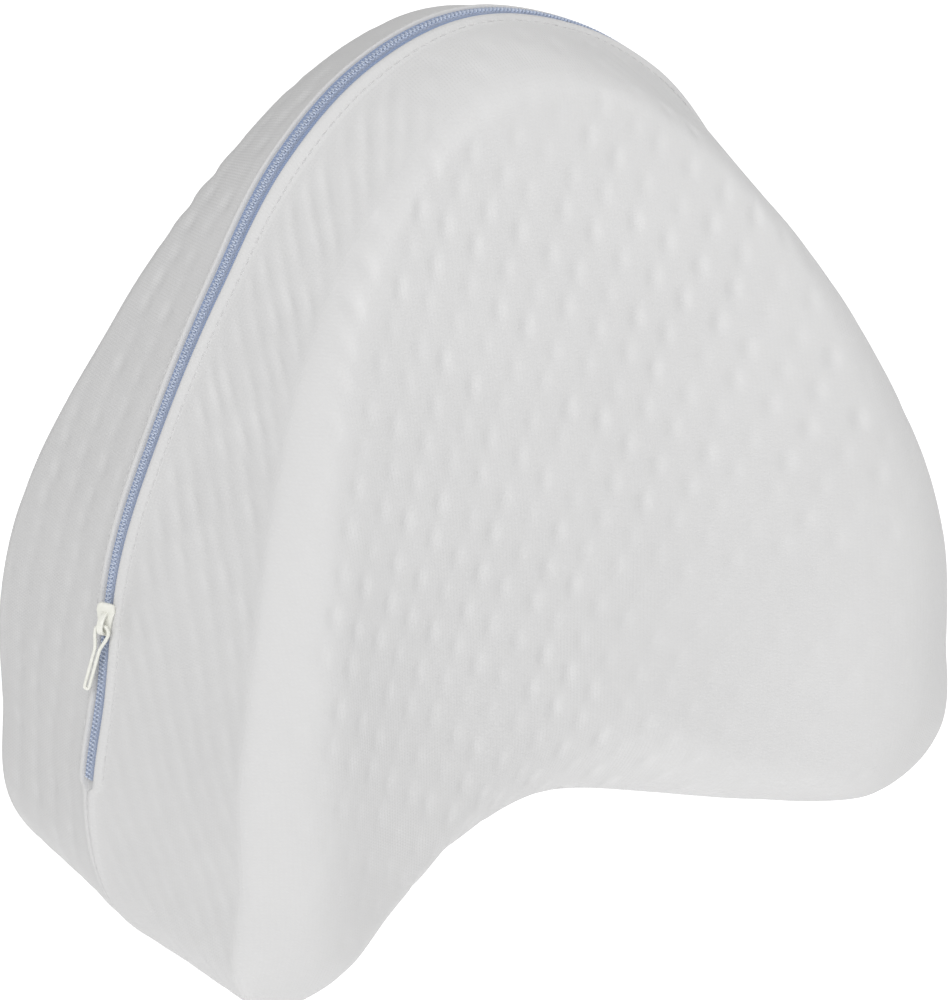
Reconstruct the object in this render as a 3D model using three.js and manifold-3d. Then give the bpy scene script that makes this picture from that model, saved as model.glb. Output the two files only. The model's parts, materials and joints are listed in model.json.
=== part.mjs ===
import * as THREE from "three";
import { mergeVertices } from "three/addons/utils/BufferGeometryUtils.js";
import Module from "manifold-3d";

// A knee pillow standing on its two lobes, in millimetres, with +Z up.
// X runs across the pillow and Y through its thickness, from face to face.
// The origin is on the floor, midway between the lobes and between the faces.

// The outline is read by its angle from straight up, round this centre.
const CENTRE_HEIGHT = 105.5;

// One half of the outline. crest is the radius of the seam round the mid-plane, and crease is
// the radius of the edge where the side band meets a face. half is half the thickness at that
// edge, and rim is the width of the soft rim between it and the ridge of the face.
const OUTLINE = [
  { angle: 0, crest: 135.8, crease: 128, half: 26.5, rim: 7 },
  { angle: 14, crest: 131.6, crease: 122, half: 28, rim: 7 },
  { angle: 28, crest: 123.1, crease: 112.5, half: 31.5, rim: 8 },
  { angle: 45, crest: 111.7, crease: 104.3, half: 37.5, rim: 10 },
  { angle: 65, crest: 107.9, crease: 101, half: 47, rim: 14 },
  { angle: 85, crest: 113.3, crease: 105.5, half: 57, rim: 19 },
  { angle: 102, crest: 121.6, crease: 116, half: 61.5, rim: 23 },
  { angle: 116, crest: 138.6, crease: 128, half: 61.3, rim: 26 },
  { angle: 127, crest: 148.8, crease: 144.8, half: 58.2, rim: 29 },
  { angle: 137, crest: 147.3, crease: 144.2, half: 50.4, rim: 33 },
  { angle: 147, crest: 129, crease: 124.3, half: 34, rim: 40 },
  { angle: 157, crest: 110.5, crease: 105.5, half: 25, rim: 44 },
  { angle: 168, crest: 95.5, crease: 91, half: 24, rim: 38 },
  { angle: 180, crest: 89.5, crease: 85.5, half: 24, rim: 34 },
];
const SWAY = 1.35; // how far the seam shifts out on the left of the top, and in on the right
const SWAY_ANGLE = 15; // angle at which it shifts the most

// The leg channel that runs down each face, by height. floor is half the thickness along the
// middle of the channel, ridge is half the thickness at its two ridges, and reach is how far
// the ridges stand from the middle.
const CHANNEL = [
  { height: 0, floor: 40, ridge: 62, reach: 84 },
  { height: 23, floor: 42, ridge: 69, reach: 88 },
  { height: 48, floor: 44, ridge: 72.5, reach: 91 },
  { height: 83, floor: 45, ridge: 72, reach: 91 },
  { height: 115, floor: 44.5, ridge: 67, reach: 87 },
  { height: 148, floor: 41, ridge: 56, reach: 77 },
  { height: 178, floor: 37, ridge: 44.5, reach: 63 },
  { height: 204, floor: 33, ridge: 36.5, reach: 45 },
  { height: 223, floor: 31, ridge: 32.5, reach: 26 },
  { height: 243, floor: 29.5, ridge: 30, reach: 15 },
];

const CHANNEL_POWER = 2.4; // 2 would be a plain parabola across, and more is flatter in the middle

const AROUND = 100; // points round the outline
const RIM_STEPS = 4; // rings on the soft rim
const FACE_STEPS = 7; // rings from the ridge to the middle of a face
const BAND_STEPS = 3; // rings from a crease to the crest
const FLOOR_BLOCK = 400; // side of the block that cuts the lobes flat where they stand
const MERGE = 1e-4; // points nearer than this are one point

// The zip lies in a shallow groove along the crest, over the top from side to side.
const ZIP_END = 112; // angle of each end of the zip
const ZIP_STEP = 3.6; // degrees between two of its sections
const ZIP_SLACK = 0.2; // degrees left free at each end of the groove
const GROOVE_DEPTH = 1.6;
const TAPE_HALF_SIDE = 2.3; // half the width over both tapes, down the sides
const TAPE_HALF_TOP = 3; // the same over the top, where the hems draw apart
const HEMS_APART = 25; // angle up to which they stay fully apart
const HEMS_CLOSE = 70; // and from which they are close together
const TAPE_TOP = -0.4; // height of the tapes over the crest
const CHAIN_HALF = 1.2; // half the width of the closed teeth
const CHAIN_TOP = 0.5; // height of the teeth over the crest
const CHAIN_ROUND = 0.6; // how far the teeth round off at their edges
const GAP = 0.3; // between pieces that touch

// The slider has run down the left side, to where it closes the zip, and it leans to the front.
const SLIDER_ANGLE = -92; // where it stands on the crest
const SLIDER_LIFT = 1.45; // its plate's height over the crest
const SLIDER_FRONT = 2.2; // how far it sits towards the front
const SLIDER_LEAN = 34; // degrees that it is turned towards the front
const SLIDER_LENGTH = 9;
const SLIDER_WIDTH = 5.2;
const SLIDER_TAIL = 3.6; // width of its lower end
const SLIDER_NOSE = 2.6; // width of its upper end
const SLIDER_SHOULDER = 2.2; // how far above its middle it is widest
const SLIDER_THICK = 1.2;
const SLIDER_CURVE_STEPS = 5; // steps along each of its curved edges
const SLIDER_COVER = 1.2; // degrees between its middle and the end of the closed teeth
const BRIDGE_LOW = 1; // how far the bridge stands below the middle of the plate
const BRIDGE_LENGTH = 6.4;
const BRIDGE_WIDTH = 1.8;
const BRIDGE_HEIGHT = 3.2;
const BRIDGE_WALL = 0.9;
const BRIDGE_SUNK = 0.2; // how deep its feet stand in the plate
const BRIDGE_CURVE_STEPS = 12; // steps along its arch

// The pull is one long loop of wire through the bridge.
const PULL_TOP = -1.2; // its upper end along the slider
const PULL_OUT = 2.42; // and its height there over the plate's lower side
const PULL_DROP = 2.3; // how much nearer the cover its lower end lies
const PULL_LENGTH = 20;
const PULL_ASIDE = 0.48; // how far its upper end lies towards the front
const PULL_SWING = 12; // degrees that its lower end swings to the back
const PULL_HALF = 1.9; // half the distance between its two sides at the bridge
const PULL_TIP_HALF = 0.65; // and at its tip
const PULL_TAPER = 6; // length over which its sides draw together
const PULL_TAPER_STEPS = 5;
const PULL_WIRE = 0.5; // radius of the wire
const PULL_TURN_STEPS = 4; // steps round each quarter of an end
const PULL_SIDES = 8; // sides of the wire

const wasm = await Module();
wasm.setup();

// Smooth reading of a column of the outline, mirrored at straight up and straight down.
function outlineColumn(name) {
  const rows = OUTLINE.map((row) => new THREE.Vector2(row.angle, row[name]));
  const before = new THREE.Vector2(-rows[1].x, rows[1].y);
  const after = new THREE.Vector2(360 - rows.at(-2).x, rows.at(-2).y);
  const column = smoothColumn([before, ...rows, after], 1);
  return (angle) => column(Math.abs(angle));
}

// Smooth reading of a column of the channel.
function channelColumn(name) {
  const rows = CHANNEL.map((row) => new THREE.Vector2(row.height, row[name]));
  return smoothColumn(rows, 0);
}

// Hermite curve through the points, with the slope at each from its two neighbours.
function smoothColumn(points, first) {
  const last = points.length - 1 - first;
  const slope = (i) => {
    const a = points[Math.max(i - 1, 0)];
    const b = points[Math.min(i + 1, points.length - 1)];
    return (b.y - a.y) / (b.x - a.x);
  };
  return (x) => {
    const at = THREE.MathUtils.clamp(x, points[first].x, points[last].x);
    let i = first;
    while (i < last - 1 && at > points[i + 1].x) i += 1;
    const [p, q] = [points[i], points[i + 1]];
    const span = q.x - p.x;
    const t = (at - p.x) / span;
    const rise = q.y - p.y;
    const [m, n] = [slope(i) * span, slope(i + 1) * span];
    return p.y + t * m + t * t * (3 * rise - 2 * m - n) + t * t * t * (m + n - 2 * rise);
  };
}

const evenCrest = outlineColumn("crest");
const creaseRadius = outlineColumn("crease");
const creaseHalf = outlineColumn("half");
const rimWidth = outlineColumn("rim");
const channelFloor = channelColumn("floor");
const channelRidge = channelColumn("ridge");
const channelReach = channelColumn("reach");

// Near the top the seam lies a little to the left.
function crestRadius(angle) {
  const share = angle / SWAY_ANGLE;
  return evenCrest(angle) - SWAY * share * Math.exp((1 - share * share) / 2);
}

// A point at an angle, in degrees from straight up towards +X, and a radius from the centre.
function polar(angle, radius, y) {
  const turn = THREE.MathUtils.degToRad(angle);
  return new THREE.Vector3(radius * Math.sin(turn), y, CENTRE_HEIGHT + radius * Math.cos(turn));
}

// Half the thickness of the face at a place inside its ridges.
function faceHalf(x, z) {
  const across = Math.min(Math.abs(x) / channelReach(z), 1);
  return THREE.MathUtils.lerp(channelFloor(z), channelRidge(z), across ** CHANNEL_POWER);
}

// Points of one ring of the pillow. place gives the radius and the half thickness at an angle.
function pillowRing(side, place) {
  return Array.from({ length: AROUND }, (_, i) => {
    const angle = -180 + (i * 360) / AROUND;
    const { radius, half } = place(angle);
    const point = polar(angle, radius, 0);
    point.y = side * (half ?? rimmedHalf(angle, point, radius));
    return point;
  });
}

// Half the thickness at a point of a face, rounded down over the rim.
function rimmedHalf(angle, point, radius) {
  const inside = Math.min((creaseRadius(angle) - radius) / rimWidth(angle), 1);
  const face = faceHalf(point.x, point.z);
  return THREE.MathUtils.lerp(face, creaseHalf(angle), (1 - inside) ** 2);
}

// Rings from the middle of a face to its crease, and from there to the crest.
function sideRings(side) {
  const rings = [];
  for (let i = 1; i <= FACE_STEPS; i += 1)
    rings.push(
      pillowRing(side, (angle) => ({
        radius: ((creaseRadius(angle) - rimWidth(angle)) * i) / FACE_STEPS,
      })),
    );
  for (let i = 1; i <= RIM_STEPS; i += 1)
    rings.push(
      pillowRing(side, (angle) => ({
        radius: creaseRadius(angle) - rimWidth(angle) * (1 - i / RIM_STEPS),
      })),
    );
  for (let i = BAND_STEPS - 1; i >= 1; i -= 1)
    rings.push(
      pillowRing(side, (angle) => ({
        radius: THREE.MathUtils.lerp(crestRadius(angle), creaseRadius(angle), i / BAND_STEPS),
        half: (creaseHalf(angle) * i) / BAND_STEPS,
      })),
    );
  return rings;
}

// Closed surface through a row of rings with the same number of points.
// An open row is capped by fans at both ends, and a closed row joins its last ring to its first.
function loft(rings, closed = false) {
  const count = rings[0].length;
  const points = rings.flat();
  const faces = [];
  const bands = closed ? rings.length : rings.length - 1;
  for (let r = 0; r < bands; r += 1) {
    const [a, b] = [r * count, ((r + 1) % rings.length) * count];
    for (let i = 0; i < count; i += 1) {
      const j = (i + 1) % count;
      faces.push([a + i, a + j, b + j], [a + i, b + j, b + i]);
    }
  }
  if (!closed)
    [0, rings.length - 1].forEach((r) => {
      const middle = new THREE.Vector3();
      rings[r].forEach((point) => middle.addScaledVector(point, 1 / count));
      points.push(middle);
      for (let i = 0; i < count; i += 1) {
        const [a, b] = [r * count + i, r * count + ((i + 1) % count)];
        faces.push(r === 0 ? [points.length - 1, b, a] : [points.length - 1, a, b]);
      }
    });
  const volume = ([a, b, c]) => points[a].dot(points[b].clone().cross(points[c])) / 6;
  const outward = faces.reduce((sum, face) => sum + volume(face), 0) > 0;
  const geometry = new THREE.BufferGeometry().setFromPoints(points);
  geometry.setIndex(faces.flatMap(([a, b, c]) => (outward ? [a, b, c] : [a, c, b])));
  return geometry;
}

// A closed geometry as a solid that can be joined and cut.
function toSolid(geometry) {
  const bare = new THREE.BufferGeometry();
  bare.setAttribute("position", geometry.getAttribute("position"));
  if (geometry.index) bare.setIndex(geometry.index);
  const merged = mergeVertices(bare, MERGE);
  return new wasm.Manifold(
    new wasm.Mesh({
      numProp: 3,
      vertProperties: merged.attributes.position.array,
      triVerts: new Uint32Array(merged.index.array),
    }),
  );
}

// The solid's surface as a geometry.
function toGeometry(solid) {
  const { vertProperties, triVerts } = solid.getMesh();
  const geometry = new THREE.BufferGeometry();
  geometry.setAttribute("position", new THREE.BufferAttribute(vertProperties, 3));
  geometry.setIndex(new THREE.BufferAttribute(triVerts, 1));
  return geometry;
}

// A frame on the crest at an angle: its place, its direction outwards and its direction down
// the side, away from the top.
function crestFrame(angle) {
  const at = polar(angle, crestRadius(angle), 0);
  const step = Math.sign(angle) || 1;
  const next = polar(angle + step, crestRadius(angle + step), 0);
  const along = next.sub(at).normalize();
  const out = new THREE.Vector3(along.z * -step, 0, along.x * step);
  return { at, along, out };
}

// Blend from 0 down the sides to 1 over the top of the pillow.
const overTop = (angle) =>
  1 - THREE.MathUtils.smoothstep(Math.abs(angle), HEMS_APART, HEMS_CLOSE);
const tapeHalf = (angle) => THREE.MathUtils.lerp(TAPE_HALF_SIDE, TAPE_HALF_TOP, overTop(angle));

// A strip that follows the crest. section gives its corners at an angle, as a list of places
// across the crest and outwards from it. All strips turn at the same steps, so they nest.
function crestStrip(from, to, section) {
  const angles = [from];
  const first = Math.ceil((from + ZIP_SLACK) / ZIP_STEP);
  for (let i = first; i * ZIP_STEP < to - ZIP_SLACK; i += 1) angles.push(i * ZIP_STEP);
  angles.push(to);
  const rings = angles.map((angle) => {
    const { at, out } = crestFrame(angle);
    return section(angle).map(([y, lift]) => {
      const point = at.clone().addScaledVector(out, lift);
      point.y = y;
      return point;
    });
  });
  return loft(rings);
}

// Corners of a flat strip between two places across the crest and two heights over it.
const flatSection = (low, high, bottom, top) => [
  [low, bottom],
  [high, bottom],
  [high, top],
  [low, top],
];

// Corners of a row of teeth between two places across the crest. roundFrom and roundTo say
// which of its two sides has a rounded shoulder.
function teethSection(from, to, roundFrom, roundTo) {
  const bottom = GAP - GROOVE_DEPTH;
  const shoulder = CHAIN_TOP - CHAIN_ROUND;
  return [
    [from, bottom],
    [to, bottom],
    [to, roundTo ? shoulder : CHAIN_TOP],
    ...(roundTo ? [[to - CHAIN_ROUND, CHAIN_TOP]] : []),
    ...(roundFrom ? [[from + CHAIN_ROUND, CHAIN_TOP]] : []),
    [from, roundFrom ? shoulder : CHAIN_TOP],
  ];
}

// The pillow: one filled solid with its groove cut and its lobes flattened where they stand.
function pillowGeometry() {
  const crest = pillowRing(1, (angle) => ({ radius: crestRadius(angle), half: 0 }));
  const body = toSolid(loft([...sideRings(-1), crest, ...sideRings(1).reverse()]));
  const end = ZIP_END + ZIP_SLACK;
  const groove = crestStrip(-end, end, (angle) =>
    flatSection(-tapeHalf(angle) - GAP, tapeHalf(angle) + GAP, -GROOVE_DEPTH, GROOVE_DEPTH),
  );
  const floor = new THREE.BoxGeometry(FLOOR_BLOCK, FLOOR_BLOCK, FLOOR_BLOCK);
  floor.translate(0, 0, -FLOOR_BLOCK / 2);
  return toGeometry(body.subtract(toSolid(groove)).subtract(toSolid(floor)));
}

// The tape of one side, from the teeth to the hem.
function tapeGeometry(side) {
  const bottom = GAP - GROOVE_DEPTH;
  const inner = CHAIN_HALF + GAP;
  return crestStrip(-ZIP_END, ZIP_END, (angle) => {
    const [from, to] = [side * inner, side * tapeHalf(angle)];
    return flatSection(Math.min(from, to), Math.max(from, to), bottom, TAPE_TOP);
  });
}

// The closed teeth, from the slider over the top to the far end of the zip.
function chainGeometry() {
  const section = teethSection(-CHAIN_HALF, CHAIN_HALF, true, true);
  return crestStrip(SLIDER_ANGLE - SLIDER_COVER, ZIP_END, () => section);
}

// The open teeth of one side, from the slider down to the near end of the zip.
function openTeethGeometry(side) {
  const [low, high] = side < 0 ? [-CHAIN_HALF, -GAP / 2] : [GAP / 2, CHAIN_HALF];
  const section = teethSection(low, high, side < 0, side > 0);
  return crestStrip(-ZIP_END, SLIDER_ANGLE - SLIDER_COVER - ZIP_SLACK, () => section);
}

// The slider's frame has +X outwards from the crest, +Y to the front and +Z up along the crest.
// This turns a drawing so that it faces outwards, with its Y up.
const facingOut = new THREE.Matrix4().makeBasis(
  new THREE.Vector3(0, 1, 0),
  new THREE.Vector3(0, 0, 1),
  new THREE.Vector3(1, 0, 0),
);

// This turns a drawing so that it is seen from the side, with its Y outwards and its X up.
const edgeOn = new THREE.Matrix4().makeBasis(
  new THREE.Vector3(0, 0, 1),
  new THREE.Vector3(1, 0, 0),
  new THREE.Vector3(0, 1, 0),
);

// The slider: its upper plate, narrow at the tail, with the bridge that holds the pull.
function sliderGeometry() {
  const [wide, tail, nose] = [SLIDER_WIDTH / 2, SLIDER_TAIL / 2, SLIDER_NOSE / 2];
  const [low, high] = [-SLIDER_LENGTH / 2, SLIDER_LENGTH / 2];
  const outline = new THREE.Shape();
  outline.moveTo(-tail, low);
  outline.lineTo(tail, low);
  outline.quadraticCurveTo(tail, 0, wide, SLIDER_SHOULDER);
  outline.quadraticCurveTo(wide, high, nose, high);
  outline.lineTo(-nose, high);
  outline.quadraticCurveTo(-wide, high, -wide, SLIDER_SHOULDER);
  outline.quadraticCurveTo(-tail, 0, -tail, low);
  const plate = new THREE.ExtrudeGeometry(outline, {
    depth: SLIDER_THICK,
    bevelEnabled: false,
    curveSegments: SLIDER_CURVE_STEPS,
  }).applyMatrix4(facingOut);

  const [outerLong, innerLong] = [BRIDGE_LENGTH / 2, BRIDGE_LENGTH / 2 - BRIDGE_WALL];
  const arch = new THREE.Shape();
  arch.absellipse(0, 0, outerLong, BRIDGE_HEIGHT, 0, Math.PI, false);
  arch.absellipse(0, 0, innerLong, BRIDGE_HEIGHT - BRIDGE_WALL, Math.PI, 0, true);
  const bridge = new THREE.ExtrudeGeometry(arch, {
    depth: BRIDGE_WIDTH,
    bevelEnabled: false,
    curveSegments: BRIDGE_CURVE_STEPS,
  })
    .translate(-BRIDGE_LOW, 0, -BRIDGE_WIDTH / 2)
    .applyMatrix4(edgeOn)
    .translate(SLIDER_THICK - BRIDGE_SUNK, 0, 0);
  return toGeometry(toSolid(plate).add(toSolid(bridge)));
}

// The pull in the slider's frame: a round wire along a loop that is wide round the bridge and
// narrow down to its tip.
function pullGeometry() {
  const swing = new THREE.Matrix4().makeRotationX(THREE.MathUtils.degToRad(-PULL_SWING));
  const down = new THREE.Vector3(-PULL_DROP, 0, -PULL_LENGTH).normalize().applyMatrix4(swing);
  const across = new THREE.Vector3(0, 1, 0).applyMatrix4(swing);
  const facing = new THREE.Vector3().crossVectors(down, across);
  const start = new THREE.Vector3(PULL_OUT, PULL_ASIDE, PULL_TOP);

  // One side of the loop from its top to its tip, as distances from its middle and down.
  const side = [];
  for (let i = 0; i <= PULL_TURN_STEPS; i += 1) {
    const turn = (Math.PI * i) / (2 * PULL_TURN_STEPS);
    side.push([PULL_HALF * Math.sin(turn), PULL_HALF * (1 - Math.cos(turn))]);
  }
  for (let i = 1; i <= PULL_TAPER_STEPS; i += 1) {
    const share = i / PULL_TAPER_STEPS;
    const half = THREE.MathUtils.lerp(PULL_HALF, PULL_TIP_HALF, THREE.MathUtils.smoothstep(share, 0, 1));
    side.push([half, PULL_HALF + PULL_TAPER * share]);
  }
  for (let i = 0; i <= PULL_TURN_STEPS; i += 1) {
    const turn = (Math.PI * i) / (2 * PULL_TURN_STEPS);
    side.push([PULL_TIP_HALF * Math.cos(turn), PULL_LENGTH - PULL_TIP_HALF * (1 - Math.sin(turn))]);
  }

  const otherSide = side.slice(1, -1).reverse();
  const line = [
    ...side.map(([half, depth]) => [-half, depth]),
    ...otherSide,
  ].map(([offset, depth]) => start.clone().addScaledVector(across, offset).addScaledVector(down, depth));
  const rings = line.map((middle, i) => {
    const before = line[(i + line.length - 1) % line.length];
    const after = line[(i + 1) % line.length];
    const ahead = after.clone().sub(before).normalize();
    const aside = new THREE.Vector3().crossVectors(ahead, facing);
    return Array.from({ length: PULL_SIDES }, (_, k) => {
      const round = (2 * Math.PI * k) / PULL_SIDES;
      return middle
        .clone()
        .addScaledVector(aside, PULL_WIRE * Math.cos(round))
        .addScaledVector(facing, PULL_WIRE * Math.sin(round));
    });
  });
  return loft(rings, true);
}

// A mesh with its own material.
function part(name, geometry, color, roughness, metalness) {
  const shape = geometry.toNonIndexed();
  shape.computeVertexNormals();
  const material = new THREE.MeshStandardMaterial({ color, roughness, metalness });
  const mesh = new THREE.Mesh(shape, material);
  mesh.name = name;
  return mesh;
}

const kneePillow = new THREE.Group();
kneePillow.add(part("pillow", pillowGeometry(), 0xe6e4e2, 0.9, 0));

const zip = new THREE.Group();
zip.add(
  part("zip_tape_front", tapeGeometry(-1), 0xa9b6d6, 0.8, 0),
  part("zip_tape_back", tapeGeometry(1), 0xa9b6d6, 0.8, 0),
  part("zip_teeth_closed", chainGeometry(), 0x8c9dca, 0.5, 0),
  part("zip_teeth_front", openTeethGeometry(-1), 0x8c9dca, 0.5, 0),
  part("zip_teeth_back", openTeethGeometry(1), 0x8c9dca, 0.5, 0),
);
kneePillow.add(zip);

// The slider and its pull stand together on the crest.
const slider = new THREE.Group();
slider.add(part("zip_slider", sliderGeometry(), 0xe4e4de, 0.4, 0.1));
slider.add(part("zip_pull", pullGeometry(), 0xe4e4de, 0.4, 0.1));
const seat = crestFrame(SLIDER_ANGLE);
const up = seat.along.clone().negate();
const toFront = new THREE.Vector3().crossVectors(up, seat.out);
slider.applyMatrix4(new THREE.Matrix4().makeBasis(seat.out, toFront, up));
slider.rotateZ(THREE.MathUtils.degToRad(SLIDER_LEAN));
slider.position.copy(seat.at).addScaledVector(seat.out, SLIDER_LIFT);
slider.position.addScaledVector(toFront, SLIDER_FRONT);
kneePillow.add(slider);

export default kneePillow;
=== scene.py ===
import json
import math
from collections import namedtuple

import bpy
import numpy as np
from mathutils import Matrix, Vector

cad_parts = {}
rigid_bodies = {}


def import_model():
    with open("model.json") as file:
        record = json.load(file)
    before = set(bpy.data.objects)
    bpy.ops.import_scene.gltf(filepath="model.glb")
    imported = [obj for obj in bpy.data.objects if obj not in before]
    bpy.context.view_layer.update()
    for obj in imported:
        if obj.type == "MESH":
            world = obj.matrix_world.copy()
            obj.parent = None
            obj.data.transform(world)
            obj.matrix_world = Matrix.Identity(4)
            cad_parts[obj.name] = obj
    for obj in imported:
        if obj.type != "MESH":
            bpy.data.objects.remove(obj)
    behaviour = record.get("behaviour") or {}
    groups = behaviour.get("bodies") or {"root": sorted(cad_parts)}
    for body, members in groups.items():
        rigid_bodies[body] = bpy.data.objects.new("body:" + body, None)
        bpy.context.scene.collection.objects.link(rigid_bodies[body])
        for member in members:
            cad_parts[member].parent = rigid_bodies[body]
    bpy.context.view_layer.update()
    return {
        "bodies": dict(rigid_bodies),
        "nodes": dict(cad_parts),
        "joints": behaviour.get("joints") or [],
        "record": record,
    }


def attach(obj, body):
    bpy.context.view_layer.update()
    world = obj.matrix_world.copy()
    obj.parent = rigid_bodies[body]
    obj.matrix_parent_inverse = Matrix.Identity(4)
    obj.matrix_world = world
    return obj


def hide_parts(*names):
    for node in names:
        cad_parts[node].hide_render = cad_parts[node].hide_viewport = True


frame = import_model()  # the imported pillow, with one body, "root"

MM = 0.001  # every size below is in millimetres, and meshes are made in metres
SEED = 7
TINY = 1e-12  # added to a direction, so that its length is never 0

# The pillow's form, from the same sizes as its solid. The outline is read by its angle from
# straight up, round a centre at this height.
CENTRE_HEIGHT = 105.5

# crest is the radius of the seam round the mid-plane, crease the radius of the edge of a face,
# half is half the thickness at that edge, rim the width of the soft rim inside it, sag how far
# the band draws in between the two, and soft how far the crease is rounded to each side.
Outline = namedtuple("Outline", "angle crest crease half rim sag soft")
OUTLINE = [
    Outline(angle=0, crest=135.8, crease=128, half=26.5, rim=7, sag=-1.2, soft=12),
    Outline(angle=14, crest=131.6, crease=122, half=28, rim=5.5, sag=-0.9, soft=6),
    Outline(angle=28, crest=123.1, crease=112.5, half=31.5, rim=5.5, sag=-0.3, soft=3.2),
    Outline(angle=45, crest=111.7, crease=104.3, half=37.5, rim=7.5, sag=0, soft=2.2),
    Outline(angle=65, crest=107.9, crease=101, half=47, rim=12.5, sag=0.2, soft=2.2),
    Outline(angle=85, crest=113.3, crease=105.5, half=57, rim=19, sag=0.3, soft=2.2),
    Outline(angle=102, crest=121.6, crease=116, half=61.5, rim=23, sag=0.4, soft=2.2),
    Outline(angle=116, crest=138.6, crease=128, half=61.3, rim=26, sag=0.5, soft=2.2),
    Outline(angle=127, crest=148.8, crease=144.8, half=58.2, rim=29, sag=0.5, soft=2.2),
    Outline(angle=137, crest=147.3, crease=144.2, half=50.4, rim=33, sag=0.4, soft=2.2),
    Outline(angle=147, crest=129, crease=124.3, half=34, rim=40, sag=0.2, soft=2.2),
    Outline(angle=157, crest=110.5, crease=105.5, half=25, rim=44, sag=0, soft=2.2),
    Outline(angle=168, crest=95.5, crease=91, half=24, rim=38, sag=0, soft=2.2),
    Outline(angle=180, crest=89.5, crease=85.5, half=24, rim=34, sag=0, soft=2.2),
]
SWAY = 1.35  # how far the seam shifts out on the left of the top, and in on the right
SWAY_ANGLE = 15.0  # angle at which it shifts the most

# The leg channel that runs down each face, by height: half the thickness along its middle and
# at its two ridges, and how far the ridges stand from the middle.
Channel = namedtuple("Channel", "height floor ridge reach")
CHANNEL = [
    Channel(height=0, floor=40, ridge=62, reach=84),
    Channel(height=23, floor=42, ridge=69, reach=88),
    Channel(height=48, floor=44, ridge=72.5, reach=91),
    Channel(height=83, floor=45, ridge=72, reach=91),
    Channel(height=115, floor=44.5, ridge=67, reach=87),
    Channel(height=148, floor=41, ridge=56, reach=77),
    Channel(height=178, floor=37, ridge=44.5, reach=63),
    Channel(height=204, floor=33, ridge=36.5, reach=45),
    Channel(height=223, floor=31, ridge=32.5, reach=26),
    Channel(height=243, floor=29.5, ridge=30, reach=15),
]
CHANNEL_POWER = 2.4  # the larger, the wider the channel's floor and the steeper its sides
RIDGE_ROUND = 0.12  # how far each ridge is rounded, as a share of its distance

FLOOR_ROUND = 1.5  # height under which the lobes press flat on the floor

# Steps of the fine surface
FACE_STEPS = 72  # from the middle of a face to its edge, so there are 8 times as many around
BAND_STEPS = 36  # from the crease to the hem beside the zip
AROUND = 8 * FACE_STEPS
CREST_STEPS = 720  # from straight up to straight down, where the way along the crest is measured
SPACING_STEPS = 4000  # along a stretch of it, where beads or stitches are spaced out

# The zip, whose heights are over the crest
ZIP_END = 112.0  # angle of its two ends
GAP = 0.3  # between one piece and the next
GROOVE_DEPTH = 1.45
TAPE_HALF_SIDE = 2.3  # half the width over both tapes down the sides
TAPE_HALF_TOP = 3.0  # and over the top
HEMS_APART = 25.0  # angle up to which the hems stand widest apart
HEMS_CLOSE = 70.0  # and from which they stand closest
TAPE_TOP = -0.4
TAPE_BOTTOM = -1.3
TAPE_SOFT = 0.2  # how far the edges of a tape are rounded
CHAIN_HALF = 1.2  # half the width of the closed teeth
SIDES = ((-1, "front"), (1, "back"))  # of the zip, along Y
STRIP_STEP = 0.8  # degrees from one section of a tape or a core to the next

# The beads of the coil, on a plain core. A size is half the length across, half the width and
# half the height of a bead, and an offset is how far to a side it lies.
TOOTH_PITCH = 0.6  # of the closed teeth; an open row has every second bead
TOOTH_LIFT = 0.08
TOOTH_SQUARE = 0.6  # a power that makes a bead squarer, the smaller the squarer
TOOTH_SIZE = (0.8, 0.27, 0.4)
TOOTH_OFFSET = 0.38
OPEN_TOOTH_SIZE = (0.5, 0.27, 0.4)
OPEN_TOOTH_OFFSET = 0.68
CORE_TOP = -0.15
CORE_HALF = 1.05
OPEN_CORE = (0.25, 1.15)  # the inner and the outer side of an open row's core

# The slider, a plate with a bridge
SLIDER_ANGLE = -92.0
SLIDER_COVER = 1.2  # degrees from its middle to the end of the closed teeth
SLIDER_LIFT = 1.45
SLIDER_FRONT = 2.2  # how far it sits towards the front
SLIDER_LEAN = 34.0  # degrees that it turns towards the front
SLIDER_LENGTH = 9.0
SLIDER_WIDTH = 5.2
SLIDER_TAIL = 3.6  # width of its lower end
SLIDER_NOSE = 2.6  # width of its upper end
SLIDER_SHOULDER = 2.2  # how far over its middle it is widest
SLIDER_CORNER = 0.4  # radius of its lower corners
SLIDER_CORNER_STEPS = 3
SLIDER_CURVE_STEPS = 8  # along each of the two curves up its side
Layer = namedtuple("Layer", "height scale")
SLIDER_LAYERS = [
    Layer(height=0, scale=0.94),
    Layer(height=0.25, scale=1.0),
    Layer(height=0.85, scale=1.0),
    Layer(height=1.1, scale=0.95),
    Layer(height=1.2, scale=0.86),
    Layer(height=1.22, scale=0.5),
]
BRIDGE_LENGTH = 6.4
BRIDGE_HEIGHT = 3.2
BRIDGE_WIDTH = 1.8
BRIDGE_WALL = 0.9
BRIDGE_FOOT = 1.0  # height of its two ends, in the plate
BRIDGE_DROP = 1.0  # how far it stands below the middle of the plate
BRIDGE_SQUARE = 0.6  # a power that makes its section squarer, the smaller the squarer
BRIDGE_STEPS = 24
BRIDGE_SIDES = 10

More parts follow.
